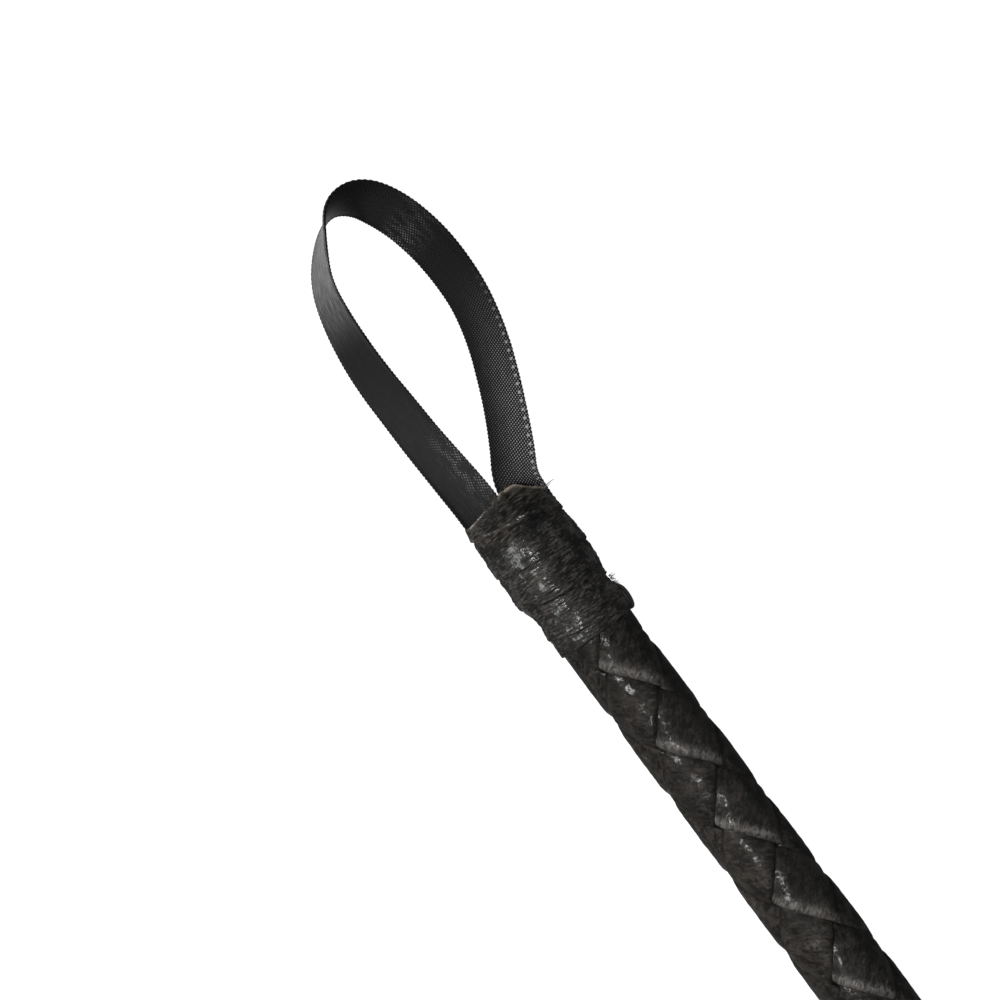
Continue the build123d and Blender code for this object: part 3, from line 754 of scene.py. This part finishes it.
def make_strand(number, hand, material):
    """One strip of the plait. Its angle grows with x where hand is 1, and falls where hand is -1."""
    rate = 2 * pi / BRAID_PITCH
    middle_radius = GRIP_RADIUS - STRAND_THICKNESS / 2 - WEAVE_HEIGHT
    slope = np.arctan(rate * middle_radius)
    rows = round((GRIP_END - GRIP_START) / np.cos(slope) / STRAND_STEP)
    run = np.linspace(GRIP_START, GRIP_END, rows)[:, None]
    width = STRAND_SHARE * middle_radius * np.cos(slope) * STRAND_FILL
    across, up = strip_ring(width / 2, STRAND_THICKNESS, STRAND_ROUNDING, STRAND_COLUMNS)

    side, first_seed = ("right", 3) if hand > 0 else ("left", 7)
    seed = number + first_seed
    along = (run - GRIP_START) / np.cos(slope)
    sway = noise_at(stacked(along, 0, 0), 13 * MM, seed) * STRAND_SWAY
    # A row lies square across the strip, so its points shift along the grip with their place across.
    x = run - hand * across * np.sin(slope)
    centre = BRAID_ANGLE + number * STRAND_SHARE + hand * rate * (run - BRAID_START)
    angle = centre + (across + sway) * np.cos(slope) / middle_radius

    crossing_strand = (angle - BRAID_ANGLE + hand * rate * (x - BRAID_START)) / STRAND_SHARE
    over = -hand * np.cos(pi * (number + crossing_strand))
    rise = WEAVE_HEIGHT * np.tanh(WEAVE_STEEPNESS * over) / np.tanh(WEAVE_STEEPNESS)
    # fold marks the rolled edge, which also carries a painted highlight; groove marks the tucked edges, which
    # also carry painted shade.
    fold = bell(across, width / 2 - 0.8 * MM, 0.6 * MM) * (up > 0) * (hand < 0)
    groove = smooth(np.abs(across), width / 2 - 0.9 * MM, width / 2 - 0.2 * MM) * (hand > 0)
    tuck = EDGE_TUCK * np.abs(across / width * 2) ** 4 - ROLLED_EDGE * fold + EDGE_TUCK * groove
    places = stacked(along, across, seed * 0.05)
    wrinkle = noise_at(places, (1.2 * MM, 2.0 * MM, 1), seed) * STRAND_WRINKLES
    past_binding = smooth(x, BINDING_END - BOUND_FADE, BINDING_END)
    before_collar = 1 - smooth(x, COLLAR_START, COLLAR_START + BOUND_FADE)
    bound = 1 - past_binding * before_collar
    swell = noise_at(stacked(x, 0, 0), 11 * MM, seed=2) * GRIP_LUMPS * (1 - bound)
    radius = middle_radius + rise * (1 - 0.5 * bound) - tuck + up + wrinkle + swell - BOUND_SQUEEZE * bound
    points = polar(np.clip(x, GRIP_START, GRIP_END), radius, angle)
    name = f"plait_strip_{side}_{number + 1}"
    piece = grid_piece(name, points, material, strip=places, wear=stacked(fold, groove, 0 * x))
    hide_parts(f"grip_strand_{side}_{number + 1}")
    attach(piece, "crop")


strand_material = strand_finish()
for hand in (1, -1):
    for number in range(STRANDS):
        make_strand(number, hand, strand_material)

# --- the collar's and the tip's tapes ---


def wound_tape(name, material, profile, seed, node):
    """A tape wound along a profile of (x, radius) points, each turn lapping over the one before."""
    places, radii = np.array(profile).T
    x = np.arange(places[0], places[-1] + TAPE_STEP / 2, WOUND_TAPE_STEP)

    def outside(angles, xs):
        steps = helical_edges(angles, xs, places[0] + 2 * MM, TURN_ADVANCE)
        ends = bell(xs, places[0], 0.15 * MM) + bell(xs, places[-1], 0.15 * MM)
        return np.interp(xs, places, radii) + steps + 0.8 * crinkle(angles, xs, seed) - 0.1 * MM * ends

    def inside(angles, xs):
        return np.interp(xs, places, radii) - TAPE_WALL

    def edge(angles, xs):
        return 0.25 * bell(xs, places[-1], 0.12 * MM)

    make_tape(name, material, x, outside, inside, edge, node)


def tapered(x, before, at_tip):
    """A radius that is even up to the taper's start and from there runs down to the shaft's tip."""
    return np.interp(x, [TAPER_START, COVER_TIP], [before, at_tip])


def make_collar(material):
    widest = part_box("grip_collar")[1].z
    profile = [
        (COLLAR_START, GRIP_RADIUS + TAPE_LAP),
        (COLLAR_START + 2 * MM, widest),
        (GRIP_END + 0.5 * MM, widest),
        (GRIP_END + 7 * MM, widest - 1.3 * MM),
        (COLLAR_END, COVER_RADIUS + 0.32 * MM),
    ]
    wound_tape("collar_tape", material, profile, 11, "grip_collar")


def make_tip_tape(material):
    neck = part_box("keeper_neck_front")[1].z
    cover = tapered(TIP_TAPE_START, COVER_RADIUS, COVER_TIP_RADIUS)
    profile = [
        (TIP_TAPE_START, cover + TAPE_LAP),
        (TIP_TAPE_START + 6 * MM, neck + TAPE_LAP),
        (TIP_TAPE_START + 9 * MM, TIP_TAPE_RADIUS),
        (TIP_TAPE_END - 4 * MM, TIP_TAPE_RADIUS),
        (TIP_TAPE_END - 2 * MM, neck + TAPE_LAP),
        (TIP_TAPE_END, neck + 0.34 * MM),
    ]
    wound_tape("tip_tape", material, profile, 17, "tip_binding")


wound_material = tape_finish("wound_tape", 0.4)
make_collar(wound_material)
make_tip_tape(wound_material)

# --- braided thread cover on the shaft ---
YARNS = 12                      # yarns of each hand
YARN_PITCH = 31.0 * MM          # length in which one yarn goes once round the shaft
COVER_STEP = 0.35 * MM
COVER_ROUND = 84                # points round the cover
COVER_BORE_SKIP = 3             # its inside has one of this many points along it
COVER_BORE = (2.95 * MM, 1.7 * MM)      # inside radius before the taper, and at the tip
COVER_SQUEEZE = 0.3 * MM        # how much thinner the cover is under the collar
YARN_RISE = 0.10 * MM
YARN_CROWN = 0.16 * MM


def cover_finish():
    """Black braided thread: fine filaments lie along each yarn, and the crowns are a little worn."""
    look = Finish("thread_cover")
    along, across, height = look.parts(look.attribute("yarn", (1 * MM, 1, 1 * MM)))
    filaments = look.node("CombineXYZ", (look.times(along, 0.9), look.times(across, 9.0), 0.0))
    fibre = look.noise(filaments, 3.0, 0.6)
    crown = look.between(height, 0.02, 0.26)
    share = look.times(crown, look.between(fibre, 0.35, 0.65))
    relief = look.sum(fibre, look.times(look.noise(look.place(9)), 0.4))
    return look.finish(
        Base_Color=look.colour(share, grey(0.004), grey(0.055, 0.03)),
        Roughness=look.between(fibre, 0.3, 0.7, 0.42, 0.62),
        Sheen_Weight=0.3,
        Sheen_Roughness=0.4,
        Normal=look.bump(relief, 0.05 * MM, 0.9),
    )


def make_cover():
    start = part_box("shaft_cover")[0].x
    angles = np.linspace(0, 2 * pi, COVER_ROUND, endpoint=False)[:, None]
    x = np.arange(start, COVER_TIP + COVER_STEP / 2, COVER_STEP)[None, :]
    squeezed = COVER_RADIUS - COVER_SQUEEZE * (1 - smooth(x, COLLAR_END - 1 * MM, COLLAR_END + 1 * MM))
    widest = np.minimum(squeezed, tapered(x, COVER_RADIUS, COVER_TIP_RADIUS))

    turn = angles * YARNS / (2 * pi)
    travel = (x - start) / YARN_PITCH * YARNS
    heights = []
    for hand in (1, -1):
        place = turn - hand * travel        # whole on the middle line of each yarn of this hand
        crossing = turn + hand * travel
        yarn = np.round(place)
        off = np.abs(place - yarn) * 2
        height = hand * YARN_RISE * np.cos(pi * (crossing + yarn)) + YARN_CROWN * np.sqrt(1 - 0.9 * off ** 2)
        heights.append((height, crossing, place))
    on_top = heights[0][0] > heights[1][0]
    height, crossing, place = (np.where(on_top, one, other) for one, other in zip(*heights))
    outer = widest - YARN_RISE - YARN_CROWN + height
    xs = np.broadcast_to(x, outer.shape)
    bore_xs = xs[:, ::COVER_BORE_SKIP]
    points = tube(angles, xs, outer, bore_xs, tapered(bore_xs, *COVER_BORE))
    yarn = stacked(crossing * YARN_PITCH / YARNS / 2, place, height)
    yarn = np.concatenate([yarn, np.zeros((*bore_xs.shape, 3))], axis=1)
    piece = grid_piece("thread_cover", points, cover_finish(), rows_close=True, yarn=yarn)
    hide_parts("shaft_cover")
    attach(piece, "crop")


make_cover()

# --- leather keeper ---
HINGE = JOINTS["keeper_flex"]["pos_m"][0]
SPLIT = JOINTS["leaf_open"]["pos_m"][0]
KEEPER_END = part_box("keeper_back_leaf")[1].x
KEEPER_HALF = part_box("keeper_back_leaf")[1].y
NECK_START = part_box("keeper_neck_back")[0].x
NECK_ROUND_END = MOUTH + 478.4 * MM
NECK_FLAT = HINGE - 3 * MM
NECK_HALF = 8.0 * MM
NECK_HALF_ARC = 4.75 * MM       # half the neck's width over its bend, where it wraps the shaft
NECK_MIDDLE_RADIUS = 3.2 * MM
LEATHER = 1.4 * MM
LEAF_MIDDLE = 0.72 * MM         # a flat leaf's middle lies this far from the plane where the leaves meet
SHOULDER_START = HINGE + 3 * MM
SHOULDER_END = HINGE + 25 * MM
CORNER_RADIUS = 6.0 * MM
BEND_START = SPLIT + 3 * MM
BEND_END = SPLIT + 25 * MM
KEEPER_DROP = 4.85 * MM
LEATHER_STEP = 0.4 * MM
LEATHER_COLUMNS = 46
LEATHER_ROUNDING = 0.45 * MM    # of a leaf's long edges
LEATHER_END_ROUNDING = 0.5 * MM
LEATHER_UNEVENNESS = 0.05 * MM
FLATTEST_CURL = 0.8             # per metre: nearly flat, since the leaf's shape divides by it
STITCH_ROWS = ((HINGE + 5.5 * MM, 6), (SPLIT - 2.5 * MM, 9))    # where each row is, and its stitches
STITCH_PITCH = 2.4 * MM
STITCH_LENGTH = 2.108 * MM
THREAD_RADIUS = 0.28 * MM
STITCH_RISE = 0.14 * MM         # a stitch's middle line lies this far above the leather
STITCH_SINK = 0.5 * MM          # its ends go this far down
PLIES = 3
PLY_DEPTH = 0.10                # as a share of the thread's radius
PLY_TWIST = 3.2                 # radians over half a stitch


def leather_finish():
    """Black grain leather outside, brown-black suede inside, and a dark worn cut edge."""
    look = Finish("keeper_leather")
    side = look.parts(look.attribute("hide"))[2]
    grain = look.cells(look.place(1.1))
    pores = look.noise(look.place(0.35), 3.0)
    # wear and paler_share here give paler rubbed patches where the grain leather is worn.
    wear = look.noise(look.place(14), 4.0, 0.6)
    outer = look.between(side, -0.4, 0.4)
    patches = look.times(look.noise(look.place(3), 3.0), 0.5)
    paler_share = look.between(look.sum(wear, patches), 0.66, 0.95)
    skin = look.colour(paler_share, grey(0.012, 0.05), grey(0.028, 0.10))
    suede = look.colour(pores, grey(0.014, 0.2), grey(0.036, 0.25))
    height = look.sum(grain, look.times(pores, 0.4))
    return look.finish(
        Base_Color=look.colour(outer, suede, skin),
        Roughness=look.between(outer, 0, 1, 0.85, look.between(paler_share, 0, 1, 0.36, 0.52)),
        Specular_IOR_Level=0.5,
        Normal=look.bump(height, 0.13 * MM),
        Coat_Weight=look.times(outer, 0.35),
        Coat_Roughness=0.28,
        Coat_Normal=look.bump(height, 0.07 * MM),
    )


def stitch_dents(x, across):
    """How deep the thread sinks into the leather at each place."""
    depth = 0
    for row, stitches in STITCH_ROWS:
        middle = (stitches - 1) / 2 * STITCH_PITCH
        inside_row = 1 - smooth(np.abs(across), middle + 0.6 * MM, middle + 1.2 * MM)
        holes = 0.5 - 0.5 * np.cos(2 * pi * (across + middle) / STITCH_PITCH)
        depth = depth + bell(x, row, 0.45 * MM) * inside_row * (0.12 + 0.28 * holes)
    return depth * MM


def make_leather(name, start, end, side, material):
    """A leaf of leather from start to end. side is 1 for the front leaf, above, and -1 for the back one."""
    x = np.linspace(start, end, round((end - start) / LEATHER_STEP))[:, None]
    open_share = smooth(x, NECK_ROUND_END, NECK_FLAT)
    half = NECK_HALF_ARC + (NECK_HALF - NECK_HALF_ARC) * open_share
    half = half + (KEEPER_HALF - NECK_HALF) * smooth(x, SHOULDER_START, SHOULDER_END)
    into_corner = np.clip(x - (KEEPER_END - CORNER_RADIUS), 0, CORNER_RADIUS * 0.98)
    half = half - CORNER_RADIUS + np.sqrt(CORNER_RADIUS ** 2 - into_corner ** 2)

    from_end = np.minimum(x - NECK_START, KEEPER_END - x)
    end_rounding = np.sqrt(1 - (1 - np.clip(from_end / LEATHER_END_ROUNDING, 0.03, 1)) ** 2)
    across, up = strip_ring(half, LEATHER, LEATHER_ROUNDING, LEATHER_COLUMNS)
    up = up * end_rounding
    outer = up > 0
    places = stacked(x, across, side * MM)
    up = up + outer * (noise_at(places, 5 * MM, seed=21) * LEATHER_UNEVENNESS - stitch_dents(x, across))

    curl = np.maximum((1 - open_share) / NECK_MIDDLE_RADIUS, FLATTEST_CURL)
    middle = LEAF_MIDDLE + (NECK_MIDDLE_RADIUS - LEAF_MIDDLE) * (1 - open_share)
    drop = KEEPER_DROP * smooth(x, BEND_START, BEND_END)
    y = (1 / curl + up) * np.sin(curl * across)
    z = middle + (1 / curl + up) * np.cos(curl * across) - 1 / curl
    points = stacked(x, y, side * z - drop)
    hide = stacked(x, across, np.where(outer, 1.0, -1.0) * smooth(np.abs(up), 0.1 * MM, 0.5 * MM))
    piece = grid_piece(name, points, material, hide=hide)
    return piece


def stitching_finish():
    """Black twisted thread with a waxy shine."""
    look = Finish("stitching")
    fuzz = look.noise(look.place(0.12, 0.5, 0.12), 3.0)
    return look.finish(
        Base_Color=look.colour(fuzz, grey(0.0125), grey(0.045, 0.05)),
        Roughness=look.between(fuzz, 0.3, 0.7, 0.35, 0.55),
        Sheen_Weight=0.2,
        Normal=look.bump(fuzz, 0.04 * MM, 0.8),
    )


def make_stitches():
    """Thread over both leaves: each stitch is twisted from plies, and its ends sink in the holes."""
    material = stitching_finish()
    run = np.linspace(-1, 1, 17)[:, None]
    turn = np.linspace(0, 2 * pi, 18, endpoint=False)[None, :]
    plies = 1 + PLY_DEPTH * np.cos(PLIES * (turn + PLY_TWIST * run))
    radius = THREAD_RADIUS * plies * np.sqrt(1 - 0.97 * run ** 6)
    pieces = []
    for row, stitches in STITCH_ROWS:
        for side in (1, -1):
            for number in range(stitches):
                y = (number - (stitches - 1) / 2) * STITCH_PITCH + run * STITCH_LENGTH / 2
                height = LEAF_MIDDLE + LEATHER / 2 + STITCH_RISE - STITCH_SINK * run ** 4
                x = row + radius * np.cos(turn)
                z = side * (height + radius * np.sin(turn))
                pieces.append(grid_piece(f"stitch_{len(pieces)}", stacked(x, y, z), material))
    piece = joined("keeper_stitches", pieces)
    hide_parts("keeper_stitching")
    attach(piece, "keeper")


def make_keeper():
    material = leather_finish()
    seam = STITCH_ROWS[1][0]
    back = make_leather("keeper_back", NECK_START, KEEPER_END, -1, material)
    root = make_leather("keeper_front_neck", NECK_START, seam, 1, material)
    leaf = make_leather("keeper_front", seam, KEEPER_END, 1, material)
    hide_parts("keeper_neck_back", "keeper_back_leaf")
    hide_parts("keeper_neck_front", "keeper_front_root")
    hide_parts("keeper_front_leaf")
    for piece in (back, root):
        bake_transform(piece)
    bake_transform(leaf)


make_keeper()
make_stitches()

# --- parts of the model that keep their shape ---


def whipping_finish():
    """Black thread wound side by side round the shaft."""
    look = Finish("thread")
    x = look.parts(look.place(0.11, 1, 1))[0]
    turns = look.calculate("ABSOLUTE", look.calculate("SINE", x))
    fuzz = look.noise(look.place(0.1, 1, 1), 3.0)
    return look.finish(
        Base_Color=look.colour(turns, grey(0.006), grey(0.035)),
        Roughness=look.between(fuzz, 0.3, 0.7, 0.4, 0.6),
        Normal=look.bump(look.sum(turns, look.times(fuzz, 0.3)), 0.09 * MM),
    )


def glass_fibre_finish():
    """Pale resin with glass fibres along the rod."""
    look = Finish("glass_fibre")
    fibres = look.noise(look.place(14, 0.12, 0.12), 4.0, 0.6)
    return look.finish(
        Base_Color=look.colour(fibres, (0.42, 0.40, 0.33, 1), (0.66, 0.64, 0.55, 1)),
        Roughness=look.between(fibres, 0.3, 0.7, 0.25, 0.42),
        Transmission_Weight=0.1,
        Normal=look.bump(fibres, 0.02 * MM),
    )


def foam_finish():
    """Dark closed-cell foam."""
    look = Finish("foam")
    bubbles = look.cells(look.place(0.5), "F1")
    return look.finish(
        Base_Color=look.colour(bubbles, grey(0.02), grey(0.05)),
        Roughness=0.9,
        Normal=look.bump(bubbles, 0.12 * MM, 0.9),
    )


def cap_finish():
    """Black moulded plastic with a fine spark texture."""
    look = Finish("cap")
    spark = look.noise(look.place(0.1))
    scuffs = look.noise(look.place(2, 0.3, 0.3), 3.0)
    return look.finish(
        Base_Color=look.colour(scuffs, grey(0.012), grey(0.03)),
        Roughness=look.between(scuffs, 0.4, 0.65, 0.4, 0.55),
        Normal=look.bump(spark, 0.015 * MM),
    )


def dress(material, *nodes):
    """Gives model parts that are shown as they are a finish."""
    for node in nodes:
        for place in frame["nodes"][node].material_slots:
            place.material = material


dress(whipping_finish(), "loop_whipping", "grip_front_whipping", "keeper_whipping")
dress(glass_fibre_finish(), "rod")
dress(foam_finish(), "grip_padding")
dress(cap_finish(), "tip_cap")

# --- floor and light ---
STAGE_X = 0.1                   # the backdrop's middle
WALL_RADIUS = 14.0
WALL_HEIGHT = 3.0
BACKDROP_STEPS = 96
FLOOR_GAP = 0.02 * MM
SIDE_LIGHT = {"place": (-0.1, -0.75, 0.62), "size": (0.9, 0.4)}
SIDE_POWER = 6.5
SIDE_ON_PLAIT_POWER = 12.0
OVERHEAD_LIGHT = {"place": (-0.1, -0.37, 1.15), "size": (0.30, 0.20), "power": 6.6}
FILL_LIGHT = {"place": (0.1, 0.9, 0.5), "size": (1.0, 0.5), "power": 0.8}
WORLD_COLOUR = (0.9, 0.92, 0.95, 1)
WORLD_STRENGTH = 0.08


def make_backdrop(name, profile, material):
    """A surface of revolution round the crop, from a profile of (radius, height)."""
    work = bmesh.new()
    rings = []
    turns = [2 * pi * step / BACKDROP_STEPS for step in range(BACKDROP_STEPS)]
    for radius, height in profile:
        places = [(STAGE_X + radius * cos(turn), radius * sin(turn), height) for turn in turns]
        rings.append([work.verts.new(place) for place in places])
    for inner, outer in zip(rings, rings[1:]):
        for step in range(BACKDROP_STEPS):
            work.faces.new((inner[step - 1], inner[step], outer[step], outer[step - 1]))
    mesh = bpy.data.meshes.new(name)
    work.to_mesh(mesh)
    work.free()
    mesh.shade_smooth()
    mesh.materials.append(material)
    surface = shown(name, mesh)
    return surface


def shine_only_on(surface, *lit):
    """A backdrop or a light shines on nothing except these."""
    receivers = bpy.data.collections.new(f"lit_by_{surface.name}")
    for piece in lit:
        receivers.objects.link(piece)
    surface.light_linking.receiver_collection = receivers


def make_stage():
    look = Finish("floor")
    cloud = look.noise(look.place(400))
    material = look.finish(
        Base_Color=look.colour(cloud, grey(0.14), grey(0.16)),
        Roughness=0.7,
        Emission_Color=(1, 1, 1, 1),
        Emission_Strength=1.0,
    )
    level = FLOOR - FLOOR_GAP
    floor = make_backdrop("floor", [(0, level), (WALL_RADIUS, level)], material)
    wall = make_backdrop("wall", [(WALL_RADIUS, level), (WALL_RADIUS, WALL_HEIGHT)], material)
    shine_only_on(floor, bpy.data.objects["ribbon_loop"])
    shine_only_on(wall, floor)


def make_light(name, place, size, power):
    """A rectangular light that points at the origin."""
    data = bpy.data.lights.new(name, "AREA")
    data.shape = "RECTANGLE"
    data.size, data.size_y = size
    data.energy = power
    light = shown(name, data)
    light.location = place
    light.rotation_mode = "QUATERNION"
    light.rotation_quaternion = (-Vector(place)).to_track_quat("-Z", "Y")
    return light


def make_lights():
    """The side light is in two parts, because the plait shows its matte light but not its reflection."""
    strands = [piece for piece in bpy.data.objects if piece.name.startswith("plait_strip")]
    others = [piece for piece in bpy.data.objects if piece.type == "MESH" and piece not in strands]
    shine_only_on(make_light("side", power=SIDE_POWER, **SIDE_LIGHT), *others)
    side_on_plait = make_light("side_on_plait", power=SIDE_ON_PLAIT_POWER, **SIDE_LIGHT)
    side_on_plait.visible_glossy = False
    shine_only_on(side_on_plait, *strands)
    make_light("overhead", **OVERHEAD_LIGHT)
    make_light("fill", **FILL_LIGHT)


def make_world():
    world = bpy.data.worlds.new("world")
    world.use_nodes = True
    background = world.node_tree.nodes["Background"]
    background.inputs["Color"].default_value = WORLD_COLOUR
    background.inputs["Strength"].default_value = WORLD_STRENGTH
    bpy.context.scene.world = world
    bpy.context.scene.view_settings.view_transform = "Standard"


make_stage()
make_lights()
make_world()
